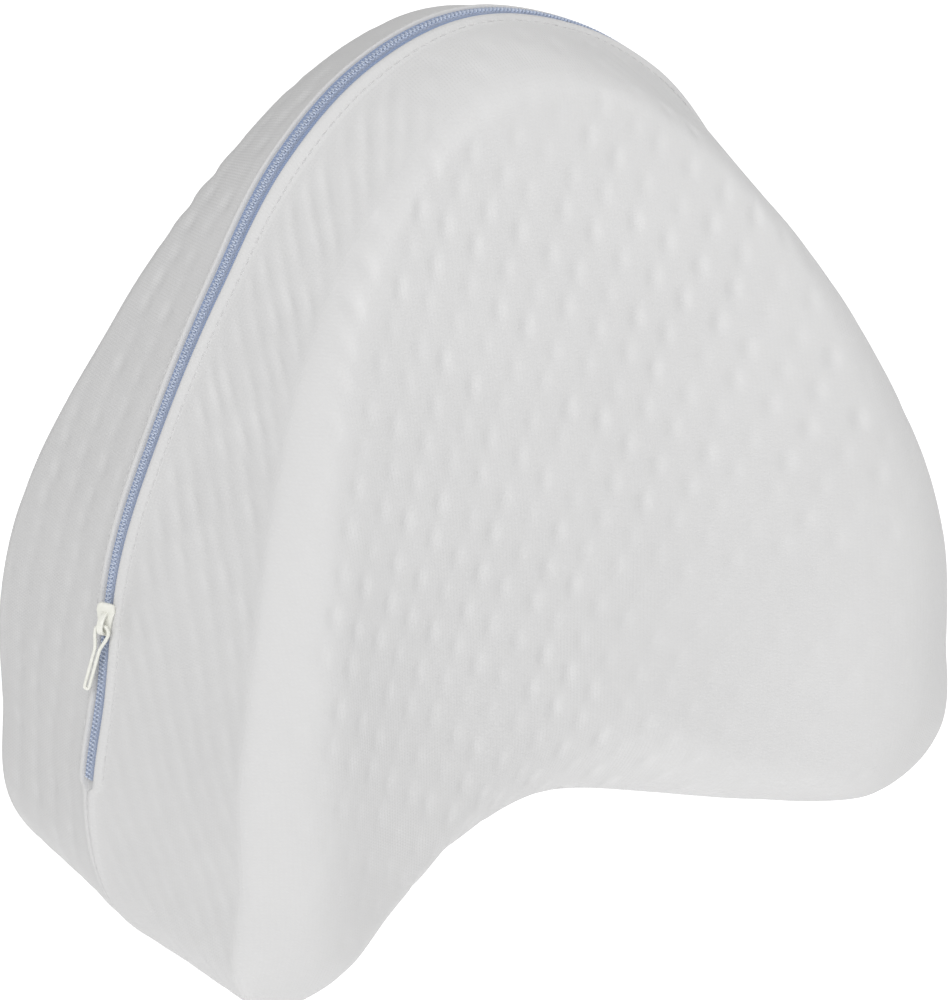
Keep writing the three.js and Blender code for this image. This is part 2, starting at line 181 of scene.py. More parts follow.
# The pull, a loop of wire
PULL_TOP = -1.2  # where along the slider its upper end lies
PULL_OUT = 2.42  # how far out
PULL_ASIDE = 0.48  # and how far to the front
PULL_LENGTH = 20.0
PULL_DROP = 2.3  # how much nearer to the cover its tip lies
PULL_SWING = 12.0  # degrees that its tip swings to the back
PULL_HALF = 1.9  # half the distance between its two sides at the bridge
PULL_TIP_HALF = 0.65  # and at its tip
PULL_TAPER = 6.0  # length over which it narrows
PULL_WIRE = 0.5  # radius of the wire
PULL_TOP_STEPS = 16  # in a quarter turn at the upper end, along a side, and in one at the tip
PULL_SIDE_STEPS = 14
PULL_TIP_STEPS = 8
PULL_WIRE_SIDES = 10

# A hem beside the slot of the zip. out is the distance from the slot, and rise the height, over
# the crest near the slot and over the band further out.
Hem = namedtuple("Hem", "out rise")
HEM = [
    Hem(out=4.4, rise=0.0),
    Hem(out=3.8, rise=0.02),
    Hem(out=3.3, rise=0.0),
    Hem(out=2.8, rise=0.12),
    Hem(out=2.2, rise=0.36),
    Hem(out=1.6, rise=0.56),
    Hem(out=1.0, rise=0.62),
    Hem(out=0.55, rise=0.52),
    Hem(out=0.2, rise=0.15),
    Hem(out=0.03, rise=-0.5),
    Hem(out=0.0, rise=-GROOVE_DEPTH),
]
STITCH_OUT = 3.3  # distance of the stitches from the slot
STITCH_LIFT = 0.05
STITCH_PITCH = 3.0
STITCH_SIZE = (1.1, 0.2, 0.14)  # half the length, width and height of one
STITCH_SQUARE = 0.8  # as with the beads
SEAM_HALF = 0.12  # half the width of the plain seam past the ends of the zip
SEAM_DEPTH = 0.3
SEAM_STARTS = 113.4  # angle where the slot has closed to a seam
RIDGE_FADES = (117.0, 128.0)  # angles between which the seam's raised ridge dies out
TOP_RIDGE = 0.35  # how high the hem's ridge stands over the top, against the sides
TOP_RIDGE_GROWS = (12.0, 40.0)  # angles between which it grows to its full height

# The knit's dimples, on a slanted lattice. a and b are the steps from one to its neighbours,
# across and down, and wide and tall the size of one.
Lattice = namedtuple("Lattice", "a b wide tall")
FACE_DIMPLES = Lattice(a=(8.5, 7.7), b=(-4.9, 8.9), wide=2.1, tall=3.1)
FRONT_DIMPLES = Lattice(a=(8.4, 4.6), b=(0.8, 9.0), wide=2.1, tall=3.7)
BACK_DIMPLES = Lattice(a=(11.6, 0.8), b=(0.5, 8.8), wide=2.6, tall=3.2)
DIMPLE_DEPTH = 0.56
DIMPLE_STRAY = 1.0  # how far a dimple may lie off its place
DIMPLE_RANGE = (0.5, 1.4)  # from the weakest to the strongest
DIMPLE_TABLE = 64  # how many each way have strays and strengths of their own
DIMPLE_POWER = 1.2  # the larger, the steeper the side of a dimple
PAINTED_FLANK_OFFSET = 0.75  # how far from its middle the painted highlight and the painted shade on its two flanks lie, as a share of its width
PAINTED_FLANK_SQUEEZE = 2.4  # how much faster across than down they fade
PAINTED_SHADE_STRENGTH = 0.6  # how strong the painted shade on the left flank is against the painted highlight on the right

# How strong the band's dimples are, and how they run. A pair of values is for nearer the top
# and for lower down, and a pair of angles, distances or heights is where the change between two
# values starts and ends.
FRONT_STRENGTH = (0.85, 0.4)
FRONT_SLANT = (1.1, 0.6)  # how far the rows slant to the front
SLANT_ANGLES = (40.0, 100.0)
RIGHT_STRENGTH = (0.4, 1.0)  # how much of that is left in front of the zip at the right
RIGHT_ANGLES = (25.0, 60.0)
BACK_STRENGTH = 0.64
TOP_STRENGTH = 0.35
TOP_BLENDS = (8.0, 22.0)  # angles between which the top's dimples give way to the band's
HEM_CALM = (4.0, 9.0)  # distances from the slot over which dimples and swells set in
CREASE_CALM = (0.0, 6.0)  # distances from the crease over which the band's dimples do
FLOOR_CALM = (0.5, 6.0)  # heights over which dimples and swells do

# Where a face's dimples fade, and how much of them goes. Right and left are distances from
# the middle.
RIDGE_PAST = (1.0, 1.1)  # beyond its ridges, as shares of how far they reach
RIDGE_PAST_HEIGHTS = (150.0, 190.0)
RIDGE_FADE = 0.8
PLAIN_RIGHT = (-10.0, 60.0)  # towards the lobes, which look plainer in the photograph
PLAIN_RIGHT_HEIGHTS = (70.0, 130.0)
PLAIN_LEFT = (40.0, 80.0)
PLAIN_LEFT_HEIGHTS = (30.0, 70.0)
PLAIN_FADE = 0.72
TOP_FADE_HEIGHTS = (213.0, 228.0)
TOP_FADE = 0.75

# The foam's gentle swells: how high they are, how long, and how many waves make them
Swell = namedtuple("Swell", "height length waves")
SWELLS = [
    Swell(height=0.25, length=60, waves=5),
    Swell(height=0.1, length=22, waves=7),
]
SWELL_SPREAD = (0.7, 1.5)  # the shortest and the longest wave, as shares of the length

# Colours, each from its dark tone to its light one
COVER_COLOURS = ((0.54, 0.538, 0.538), (0.63, 0.628, 0.628))
# the tape's blue, kept darker than the teeth partly as painted shade from the hems beside it
TAPE_COLOURS_WITH_PAINTED_SHADE = ((0.19, 0.25, 0.395), (0.31, 0.375, 0.53))
TEETH_COLOURS = ((0.39, 0.45, 0.575), (0.53, 0.585, 0.70))
METAL_COLOURS = ((0.66, 0.66, 0.60), (0.78, 0.78, 0.73))

# The cover's colour from its dark one, 0, to its light one, 1: its base, and what the wide patches,
# the painted highlight and shade on the dimples' flanks, and the knit's loops add
BASE_TONE = 0.26
PATCH_TONE = 0.4
DIMPLE_PAINTED_SHADING = 0.34
LOOP_TONE = 0.12
WALE_PITCH = 1.1  # of the knit's columns of loops
COURSE_PITCH = 0.9  # and of its rows
RIB_PITCH = 0.5  # of the tape's weave

# The studio, in metres and watts. Azimuth 0 is in front, and 90 at the right.
FLOOR_HALF = 6.0
FLOOR_GREY = 0.35
FLOOR_GLOW = 0.95  # so that it stays white and without a dark shadow
WORLD_STRENGTH = 0.2
LIGHT_TARGET = (0, 0, 0.11)
LIGHT_DISTANCE = 1.8
LIGHT_SIZE = 1.2
Light = namedtuple("Light", "name azimuth elevation power")
LIGHTS = [
    Light(name="key", azimuth=-45, elevation=35, power=20.4),
    Light(name="fill", azimuth=80, elevation=30, power=7.6),
    Light(name="front", azimuth=45, elevation=35, power=2.7),
    Light(name="top", azimuth=0, elevation=85, power=9.2),
]

# The camera, in millimetres and degrees
CAMERA_PLACE = (-745.6, -1108.3, 753.4)
CAMERA_TARGET = (-1.9, -3.3, 102.73)
CAMERA_ROLL = -1.116
CAMERA_LENS = 198.26
CAMERA_SENSOR = 36.0
CAMERA_CLIP = (0.05, 50.0)  # in metres


def smoothstep(value, low, high):
    share = np.clip((np.asarray(value, float) - low) / (high - low), 0, 1)
    return share * share * (3 - 2 * share)


def mix(low, high, share):
    return low + (high - low) * share


def smooth_column(places, values, at):
    """Hermite curve through the points, with the slope at each from its two neighbours."""
    places, values = np.array(places, float), np.array(values, float)
    slopes = np.gradient(values, places)
    slopes[1:-1] = (values[2:] - values[:-2]) / (places[2:] - places[:-2])
    at = np.clip(at, places[0], places[-1])
    i = np.clip(np.searchsorted(places, at, side="right") - 1, 0, len(places) - 2)
    span = places[i + 1] - places[i]
    t = (at - places[i]) / span
    rise = values[i + 1] - values[i]
    m, n = slopes[i] * span, slopes[i + 1] * span
    return values[i] + t * m + t * t * (3 * rise - 2 * m - n) + t**3 * (m + n - 2 * rise)


def outline(name, angle):
    """A column of the outline at signed angles, mirrored at straight up and straight down."""
    rows = [getattr(row, name) for row in OUTLINE]
    places = [row.angle for row in OUTLINE]
    places = [-places[1], *places, 360 - places[-2]]
    return smooth_column(places, [rows[1], *rows, rows[-2]], np.abs(angle))


def crest_radius(angle):
    """The radius of the seam, which near the top lies a little to the left."""
    share = np.asarray(angle, float) / SWAY_ANGLE
    return outline("crest", angle) - SWAY * share * np.exp((1 - share * share) / 2)


def channel(name, height):
    rows = [getattr(row, name) for row in CHANNEL]
    return smooth_column([row.height for row in CHANNEL], rows, height)


def polar(angle, radius):
    """Points of the mid-plane at angles in degrees from straight up, towards +X."""
    turn = np.radians(angle)
    zero = np.zeros(np.broadcast(turn, radius).shape)
    return np.stack([radius * np.sin(turn), zero, CENTRE_HEIGHT + radius * np.cos(turn)], -1)


def unit(vectors):
    return vectors / np.linalg.norm(vectors, axis=-1, keepdims=True)


def way_along(line):
    """The way along a line to each of its points."""
    return np.concatenate([[0], np.cumsum(np.linalg.norm(np.diff(line, axis=0), axis=1))])


def crest_ways():
    """Angles from straight up to straight down, and the way down the crest to each."""
    angles = np.linspace(0, 180, CREST_STEPS + 1)
    return angles, way_along(polar(angles, outline("crest", angles)))


def crest_frame(angle):
    """Places on the crest, the direction away from the top, and the direction outwards."""
    angle = np.asarray(angle, float)
    step = np.where(angle < 0, -1.0, 1.0)
    at = polar(angle, crest_radius(angle))
    along = unit(polar(angle + step, crest_radius(angle + step)) - at)
    out = np.stack([along[..., 2] * -step, np.zeros(angle.shape), along[..., 0] * step], -1)
    return at, along, out


def face_half(x, z):
    """Half the thickness of the face at a place inside its ridges, which are softly rounded."""
    across = np.abs(x) / channel("reach", z)
    over = np.clip(across - 1 + RIDGE_ROUND, 0, 2 * RIDGE_ROUND)
    across = np.minimum(across, 1 + RIDGE_ROUND) - over**2 / (4 * RIDGE_ROUND)
    return mix(channel("floor", z), channel("ridge", z), across**CHANNEL_POWER)


def crease_bend(angle):
    """How much the surface turns at the crease, as the difference of its two directions."""
    crest, crease = crest_radius(angle), outline("crease", angle)
    half, rim, sag = outline("half", angle), outline("rim", angle), outline("sag", angle)
    edge = polar(angle, crease)
    drop = 2 * (half - face_half(edge[..., 0], edge[..., 2])) / rim
    before = unit(np.stack([np.ones(drop.shape), drop], -1))
    after = unit(np.stack([crest - crease - 4 * sag, -half], -1))
    return before - after


def rounded(angle, radius, half, away):
    """A point near the crease, moved in so that the crease is round and not sharp."""
    soft = outline("soft", angle)
    push = soft / 4 * np.clip(1 - away / soft, 0, 1) ** 2
    bend = crease_bend(angle)
    return radius - bend[..., 0] * push, half - bend[..., 1] * push


def pressed(points):
    """The lobes pressed flat where they stand on the floor."""
    z = points[..., 2]
    soft = (z + FLOOR_ROUND) ** 2 / (4 * FLOOR_ROUND)
    points[..., 2] = np.where(z > FLOOR_ROUND, z, np.where(z < -FLOOR_ROUND, 0, soft))
    return points


def face_surface(angle, share, side):
    """Points of a face, share being 0 in its middle and 1 at its crease."""
    crease = outline("crease", angle)
    radius = share * crease
    flat = polar(angle, radius)
    inside = np.minimum((crease - radius) / outline("rim", angle), 1)
    edge_half = outline("half", angle)
    half = mix(face_half(flat[..., 0], flat[..., 2]), edge_half, (1 - inside) ** 2)
    radius, half = rounded(angle, radius, half, np.hypot(crease - radius, half - edge_half))
    points = polar(angle, radius)
    points[..., 1] = side * half
    return pressed(points)


def slot_half(angle):
    """Half the width of the slot for the zip, which closes to a plain seam past its ends."""
    over_top = 1 - smoothstep(np.abs(angle), HEMS_APART, HEMS_CLOSE)
    tape = mix(TAPE_HALF_SIDE, TAPE_HALF_TOP, over_top) + GAP
    return mix(tape, SEAM_HALF, closed_share(angle))


def closed_share(angle):
    """0 along the zip, and 1 past its ends, where the slot has closed."""
    return smoothstep(np.abs(angle), ZIP_END + GAP, SEAM_STARTS)


def hem_rise(angle, rise):
    """The height of the hem, lower over the top and in the seam past the ends of the zip."""
    depth = mix(1, SEAM_DEPTH / GROOVE_DEPTH, closed_share(angle))
    ridge = mix(TOP_RIDGE, 1, smoothstep(np.abs(angle), *TOP_RIDGE_GROWS))
    ridge = ridge * (1 - smoothstep(np.abs(angle), *RIDGE_FADES))
    return np.where(rise < 0, rise * depth, rise * ridge)


def band_surface(angle, across, rise, side):
    """Points of the side band, across being the distance from the mid-plane."""
    crest, crease = crest_radius(angle), outline("crease", angle)
    half = outline("half", angle)
    share = across / half
    radius = mix(crest, crease, share) - outline("sag", angle) * 4 * share * (1 - share)
    radius, depth = rounded(angle, radius, across, np.hypot(radius - crease, half - across))
    at, _, out = crest_frame(angle)
    lift = hem_rise(angle, rise)[..., None] * out
    blend = smoothstep(across - slot_half(angle), 0, HEM[0].out)[..., None]
    points = mix(at + lift, polar(angle, radius) + lift, blend)
    points[..., 1] = side * depth
    return pressed(points)


def dip(square):
    """A round dip, 1 in its middle and 0 far from it, by the square of the distance."""
    return np.exp(-(square**DIMPLE_POWER))


def dimples(across, down, lattice, rng):
    """The depth of the knit's dimples at each place, and a painted highlight on their right flank
    and painted shade on their left, as the light falls.
    """
    steps = np.array([lattice.a, lattice.b], float).T
    cells = np.stack([across, down], -1) @ np.linalg.inv(steps).T
    nearest = np.round(cells).astype(int)
    size = DIMPLE_TABLE
    stray = rng.uniform(-DIMPLE_STRAY, DIMPLE_STRAY, (size, size, 2))
    strength = rng.uniform(*DIMPLE_RANGE, (size, size))
    depth, painted_flank_shading = np.zeros(across.shape), np.zeros(across.shape)
    for i in (-1, 0, 1):
        for j in (-1, 0, 1):
            cell = nearest + (i, j)
            pick = (cell[..., 0] % size, cell[..., 1] % size)
            middle = cell @ steps.T + stray[pick]
            y = (down - middle[..., 1]) / lattice.tall
            x = (across - middle[..., 0]) / lattice.wide
            depth += strength[pick] * dip(x * x + y * y)
            # a painted highlight on the right flank, less painted shade on the left flank
            light = dip((x - PAINTED_FLANK_OFFSET) ** 2 * PAINTED_FLANK_SQUEEZE + y * y)
            dark = dip((x + PAINTED_FLANK_OFFSET) ** 2 * PAINTED_FLANK_SQUEEZE + y * y)
            painted_flank_shading += strength[pick] * (light - PAINTED_SHADE_STRENGTH * dark)
    return np.stack([depth, painted_flank_shading])


def uneven_swell(points, swell, rng):
    """Waves in random directions and of about the swell's length, added up."""
    total = np.zeros(points.shape[:-1])
    for _ in range(swell.waves):
        direction = unit(rng.normal(size=3)) * 2 * math.pi
        direction = direction / (swell.length * rng.uniform(*SWELL_SPREAD))
        total += np.sin(points @ direction + rng.uniform(0, 2 * math.pi))
    return swell.height * (total / math.sqrt(swell.waves))


def vertex_normals(points, faces):
    a, b, c, d = (points[faces[:, k]] for k in range(4))
    face_normals = np.cross(c - a, d - b)
    normals = np.zeros_like(points)
    for k in range(4):
        np.add.at(normals, faces[:, k], face_normals)
    return unit(normals + TINY)


def facing_out(points, faces):
    """The faces of one patch, turned so that they face away from the pillow's middle."""
    a, b, c, d = (points[faces[:, k]] for k in range(4))
    normals = np.cross(c - a, d - b)
    away = (a + c) / 2 - (0, 0, CENTRE_HEIGHT)
    return faces if (normals * away).sum() > 0 else faces[:, ::-1]


def add_mesh(name, points, faces, uv=None, smooth_angle=None):
    """A mesh object from points in millimetres. uv has a pair for each corner of each face."""
    mesh = bpy.data.meshes.new(name)
    mesh.from_pydata((np.asarray(points) * MM).tolist(), [], [list(map(int, f)) for f in faces])
    mesh.validate()
    if uv is not None:
        layer = mesh.uv_layers.new(name="cloth")
        layer.data.foreach_set("uv", np.asarray(uv, np.float32).ravel())
    mesh.polygons.foreach_set("use_smooth", [True] * len(mesh.polygons))
    if smooth_angle is not None:
        mesh.set_sharp_from_angle(angle=math.radians(smooth_angle))
    piece = bpy.data.objects.new(name, mesh)
    bpy.context.scene.collection.objects.link(piece)
    return piece


def dress(piece, material, slot, *nodes):
    """Gives a piece its material and body, and hides the solids that it stands for; slot is not
    used.
    """
    piece.data.materials.append(material)
    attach(piece, "root")
    if nodes:
        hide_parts(*nodes)


# The cover


def face_patch(side):
    """A square grid of points laid over a face in rings, and the grid's faces."""
    steps = np.arange(-FACE_STEPS, FACE_STEPS + 1)
    i, j = np.meshgrid(steps, steps, indexing="ij")
    ring = np.maximum(np.abs(i), np.abs(j))
    safe = np.maximum(ring, 1)
    upright = np.abs(j) >= np.abs(i)
    eighth = 45.0
    angle = np.where(
        upright,
        np.where(j >= 0, eighth * i / safe, 4 * eighth - eighth * i / safe),
        np.where(i > 0, 2 * eighth - eighth * j / safe, -2 * eighth + eighth * j / safe),
    )
    angle = (angle + 180) % 360 - 180
    points = face_surface(angle, ring / FACE_STEPS, side)
    wide = len(steps)
    index = np.arange(wide * wide).reshape(wide, wide)
    faces = np.stack([index[:-1, :-1], index[1:, :-1], index[1:, 1:], index[:-1, 1:]], -1)
    column = np.round((angle + 180) * AROUND / 360).astype(int) % AROUND
    edge = np.empty(AROUND, int)
    on_edge = ring == FACE_STEPS
    edge[column[on_edge]] = index[on_edge]
    return points.reshape(-1, 3), faces.reshape(-1, 4), edge


def band_rows():
    """Rows of the band from a crease to the mid-plane, as distances and heights by angle."""
    angle = -180 + np.arange(AROUND) * 360 / AROUND
    slot, half = slot_half(angle), outline("half", angle)
    hem_edge = slot + HEM[0].out
    rows = [
        (mix(hem_edge, half, 1 - step / BAND_STEPS), 0.0) for step in range(BAND_STEPS)
    ]
    rows += [(slot + row.out, row.rise) for row in HEM]
    rows += [(slot / 2, -GROOVE_DEPTH)]
    return angle, rows


def face_fade(x, z):
    """How much of its dimples a face keeps at each place."""
    ridge = smoothstep(np.abs(x) / channel("reach", z), *RIDGE_PAST)
    ridge = ridge * (1 - smoothstep(z, *RIDGE_PAST_HEIGHTS))
    right = smoothstep(x, *PLAIN_RIGHT) * (1 - smoothstep(z, *PLAIN_RIGHT_HEIGHTS))
    left = smoothstep(-x, *PLAIN_LEFT) * (1 - smoothstep(z, *PLAIN_LEFT_HEIGHTS))
    fade = (1 - RIDGE_FADE * ridge) * (1 - PLAIN_FADE * np.maximum(right, left))
    return fade * (1 - TOP_FADE * smoothstep(z, *TOP_FADE_HEIGHTS))


def slanted(down):
    """How far the rows in front of the zip have slanted to the front, by the way down the crest."""
    angles, ways = crest_ways()
    slant = mix(*FRONT_SLANT, smoothstep(angles, *SLANT_ANGLES))
    shift = np.concatenate([[0], np.cumsum(slant[1:] * np.diff(ways))])
    return np.interp(down, ways, shift)


def band_dimples(angle, down, away, in_front, rng):
    """The depth of the band's dimples, in rows away from the mid-plane, and the painted highlight
    and shade on their flanks.
    """
    half = outline("half", angle)
    low = np.broadcast_to(down, away.shape)
    front = dimples(slanted(down) - away, low, FRONT_DIMPLES, rng)
    back = dimples(away, low, BACK_DIMPLES, rng)
    edge = polar(angle, outline("crease", angle))
    over_x = np.broadcast_to(edge[:, 0], away.shape)
    over_z = -edge[:, 2] - (half - away)
    top = dimples(over_x, over_z, FACE_DIMPLES, np.random.default_rng(SEED + 1))

    strength = mix(*FRONT_STRENGTH, smoothstep(np.abs(angle), *SLANT_ANGLES))
    right = mix(*RIGHT_STRENGTH, smoothstep(angle, *RIGHT_ANGLES))
    strength = strength * np.where(angle > 0, right, 1)
    below = np.where(in_front, strength * front, BACK_STRENGTH * back)
    on_top = 1 - smoothstep(np.abs(angle), *TOP_BLENDS)
    calm = mix(smoothstep(half - away, *CREASE_CALM), 1, on_top)
    return calm * mix(below, TOP_STRENGTH * top, on_top)


def cover_surface():
    """The whole cover: points, faces, cloth coordinates at each corner, and painted highlight and
    shade on the dimples' flanks.
    """
    rng = np.random.default_rng(SEED)
    angle, rows = band_rows()
    down = np.interp(np.abs(angle), *crest_ways())

    front, front_faces, front_edge = face_patch(-1)
    back, back_faces, back_edge = face_patch(1)
    back_faces, back_edge = back_faces + len(front), back_edge + len(front)

    sides = [(-1, across, rise) for across, rise in rows[1:]]
    sides += [(1, np.zeros(AROUND), -GROOVE_DEPTH)]
    sides += [(1, across, rise) for across, rise in rows[:0:-1]]
    band = [
        band_surface(angle, across, np.full(AROUND, rise), side) for side, across, rise in sides
    ]
    first = len(front) + len(back)
    inner = first + np.arange(len(band) * AROUND).reshape(len(band), AROUND)
    index = np.vstack([front_edge, inner, back_edge])
    turned = np.roll(index, -1, axis=1)
    band_faces = np.stack([index[:-1], turned[:-1], turned[1:], index[1:]], -1).reshape(-1, 4)

    points = np.vstack([front, back, *band])
    patches = [facing_out(points, p) for p in (front_faces, back_faces, band_faces)]
    faces = np.vstack(patches)

    half = outline("half", angle)
    across = np.vstack([half * -1, [side * a for side, a, _ in sides], half])
    cloth_face = points[:, [0, 2]]
    cloth_band = np.zeros((len(points), 2))
    cloth_band[index] = np.stack([across, np.broadcast_to(down, across.shape)], -1)
    cloths = zip((cloth_face, cloth_face, cloth_band), patches)
    uv = np.vstack([cloth[patch.ravel()] for cloth, patch in cloths])

    # the dimples' depth, which moves the surface, and the painted highlight and shade on their
    # flanks, which colours it
    relief, painted_flank_shading = np.zeros((2, len(points)))
    x, z = points[:first, 0], points[:first, 2]
    relief[:first], painted_flank_shading[:first] = face_fade(x, z) * dimples(x, -z, FACE_DIMPLES, rng)

    inner_rows = index[1:-1]
    away = np.abs(across[1:-1])
    in_front = across[1:-1] < 0
    past_hem = smoothstep(away - slot_half(angle), *HEM_CALM)
    depth, shade = past_hem * band_dimples(angle, down, away, in_front, rng)
    relief[inner_rows], painted_flank_shading[inner_rows] = depth, shade

    normals = vertex_normals(points, faces)
    off_floor = smoothstep(points[:, 2], *FLOOR_CALM)
    swelling = np.ones(len(points))
    swelling[inner_rows] = past_hem
    height = sum(uneven_swell(points, swell, rng) for swell in SWELLS)
    push = off_floor * (swelling * height - DIMPLE_DEPTH * relief)
    return points + normals * push[:, None], faces, uv, painted_flank_shading * off_floor


# Shapes swept along a line


def swept(rings, closed=False):
    """Points and faces through rings with the same number of points, capped if not closed."""
    rings = np.asarray(rings, float)
    count, sides = rings.shape[:2]
    index = np.arange(count * sides).reshape(count, sides)
    ahead = np.roll(index, -1, axis=0) if closed else index[1:]
    start = index if closed else index[:-1]
    turned, ahead_turned = np.roll(start, -1, axis=1), np.roll(ahead, -1, axis=1)
    faces = np.stack([start, turned, ahead_turned, ahead], -1).reshape(-1, 4).tolist()
    if not closed:
        faces += [index[0][::-1].tolist(), index[-1].tolist()]
    points = rings.reshape(-1, 3)
    volume = 0
    for face in faces:
        a = points[face[0]]
        for k in range(1, len(face) - 1):
            volume += a @ np.cross(points[face[k]], points[face[k + 1]])
    if volume < 0:
        faces = [face[::-1] for face in faces]
    return points, faces


def joined(parts):
    """Several shapes as one list of points and faces."""
    points, faces, first = [], [], 0
    for shape_points, shape_faces in parts:
        points.append(shape_points)
        faces += [[first + k for k in face] for face in shape_faces]
        first += len(shape_points)
    return np.vstack(points), faces


def crest_strip(start, end, section):
    """A strip along the crest. section gives its corners, across and outwards, at an angle."""
    angles = np.linspace(start, end, max(2, int(abs(end - start) / STRIP_STEP)))
    at, _, out = crest_frame(angles)
    rings = []
    for k, angle in enumerate(angles):
        corners = np.array(section(angle))
        ring = at[k] + corners[:, 1:] * out[k]
        ring[:, 1] = corners[:, 0]
        rings.append(ring)
    return swept(rings)


def bead(rings=5, sides=8):
    """A small round bead of radius 1, as rings along its X and two end points."""
    points = [(-1.0, 0.0, 0.0)]
    for r in range(1, rings):
        turn = math.pi * r / rings
        for s in range(sides):
            way = 2 * math.pi * s / sides
            y, z = math.sin(turn) * math.cos(way), math.sin(turn) * math.sin(way)
            points.append((-math.cos(turn), y, z))
    points.append((1.0, 0.0, 0.0))
    faces = []
    for s in range(sides):
        t = (s + 1) % sides
        faces.append([0, 1 + t, 1 + s])
        last = 1 + (rings - 2) * sides
        faces.append([len(points) - 1, last + s, last + t])
        for r in range(rings - 2):
            a, b = 1 + r * sides, 1 + (r + 1) * sides
            faces.append([a + s, a + t, b + t, b + s])
    return np.array(points), faces


def beads(middles, along, out, size, square):
    """Copies of a long bead. square is a power that makes it squarer, the smaller the squarer."""
    shape, faces = bead()
    shape = np.sign(shape) * np.abs(shape) ** square * size
    frames = np.stack([np.cross(out, along), along, out], 1)
    return joined([(middle + shape @ frame, faces) for middle, frame in zip(middles, frames)])


def crest_steps(start, end, pitch):
    """Angles at even distances along the crest."""
    fine = np.linspace(start, end, SPACING_STEPS + 1)
    ways = way_along(polar(fine, crest_radius(fine)))
    return np.interp(np.arange(pitch / 2, ways[-1], pitch), ways, fine)


# Materials


def new_material(name):
    material = bpy.data.materials.new(name)
    material.use_nodes = True
    tree = material.node_tree
    tree.nodes.clear()
    output = tree.nodes.new("ShaderNodeOutputMaterial")
    shader = tree.nodes.new("ShaderNodeBsdfPrincipled")
    tree.links.new(shader.outputs["BSDF"], output.inputs["Surface"])
    return material, tree, shader


def node(tree, kind, inputs=None, **settings):
    """A new node with its settings, and its inputs set to values or linked to outputs."""
    made = tree.nodes.new(kind)
    for name, value in settings.items():
        setattr(made, name, value)
    for name, value in (inputs or {}).items():
        if isinstance(value, bpy.types.NodeSocket):
            tree.links.new(value, made.inputs[name])
        else:
            made.inputs[name].default_value = value
    return made


def math_node(tree, operation, first, second):
    return node(tree, "ShaderNodeMath", {0: first, 1: second}, operation=operation).outputs[0]


def cloth_coordinates(tree):
    return node(tree, "ShaderNodeUVMap", uv_map="cloth").outputs["UV"]


def wave_scale(pitch):
    """The scale of a wave texture that repeats after this many millimetres."""
    turn_per_unit = 20  # radians that Blender's wave texture turns in one unit at scale 1
    return 2 * math.pi / (turn_per_unit * pitch)


def two_tone(tree, factor, colours):
    """A colour between a dark and a light one, by a factor from 0 to 1."""
    ramp = node(tree, "ShaderNodeValToRGB", {"Fac": factor})
    for element, colour in zip(ramp.color_ramp.elements, colours):
        element.color = (*colour, 1)
    return ramp.outputs["Color"]


def cover_material():
    """White knit: fine loops in rows, a little greyer over wide patches, with painted highlight and
    shade on the dimples' flanks.
    """
    material, tree, shader = new_material("cover_knit_with_painted_shading")
    cloth = cloth_coordinates(tree)
    wale_scale = wave_scale(WALE_PITCH)
    wales = node(
        tree,
        "ShaderNodeTexWave",
        {"Vector": cloth, "Scale": wale_scale, "Distortion": 0.6, "Detail Scale": 0.8},
        bands_direction="X",
    ).outputs["Fac"]
    course_scale = wave_scale(COURSE_PITCH)
    courses = node(
        tree,
        "ShaderNodeTexWave",
        {"Vector": cloth, "Scale": course_scale, "Distortion": 0.9, "Detail Scale": 0.7},
        bands_direction="Y",
    ).outputs["Fac"]
    fuzz = node(
        tree, "ShaderNodeTexNoise", {"Vector": cloth, "Scale": 1.6, "Detail": 3.0}
    ).outputs["Fac"]
    loops = math_node(tree, "MULTIPLY", wales, courses)
    height = math_node(tree, "ADD", loops, math_node(tree, "MULTIPLY", fuzz, 0.5))
    bump = node(tree, "ShaderNodeBump", {"Height": height, "Strength": 0.3, "Distance": 0.15 * MM})
    tree.links.new(bump.outputs["Normal"], shader.inputs["Normal"])

    patches = node(
        tree, "ShaderNodeTexNoise", {"Vector": cloth, "Scale": 0.03, "Detail": 2.0}
    ).outputs["Fac"]
    # painted highlight and shade on the dimples' flanks, carried by the mesh
    painted_flank_shading = node(tree, "ShaderNodeAttribute", attribute_name="painted_flank_shading").outputs["Fac"]
    shade = math_node(tree, "MULTIPLY_ADD", patches, PATCH_TONE)
    shade.node.inputs[2].default_value = BASE_TONE
    shade = math_node(tree, "ADD", shade, math_node(tree, "MULTIPLY", painted_flank_shading, DIMPLE_PAINTED_SHADING))
    shade = math_node(tree, "ADD", shade, math_node(tree, "MULTIPLY", loops, LOOP_TONE))
    colour = two_tone(tree, shade, COVER_COLOURS)
    tree.links.new(colour, shader.inputs["Base Color"])
    shader.inputs["Roughness"].default_value = 0.92
    shader.inputs["Sheen Weight"].default_value = 0.12
    shader.inputs["Sheen Roughness"].default_value = 0.6
    shader.inputs["Specular IOR Level"].default_value = 0.2
    return material


def object_coordinates(tree):
    return node(tree, "ShaderNodeTexCoord").outputs["Object"]


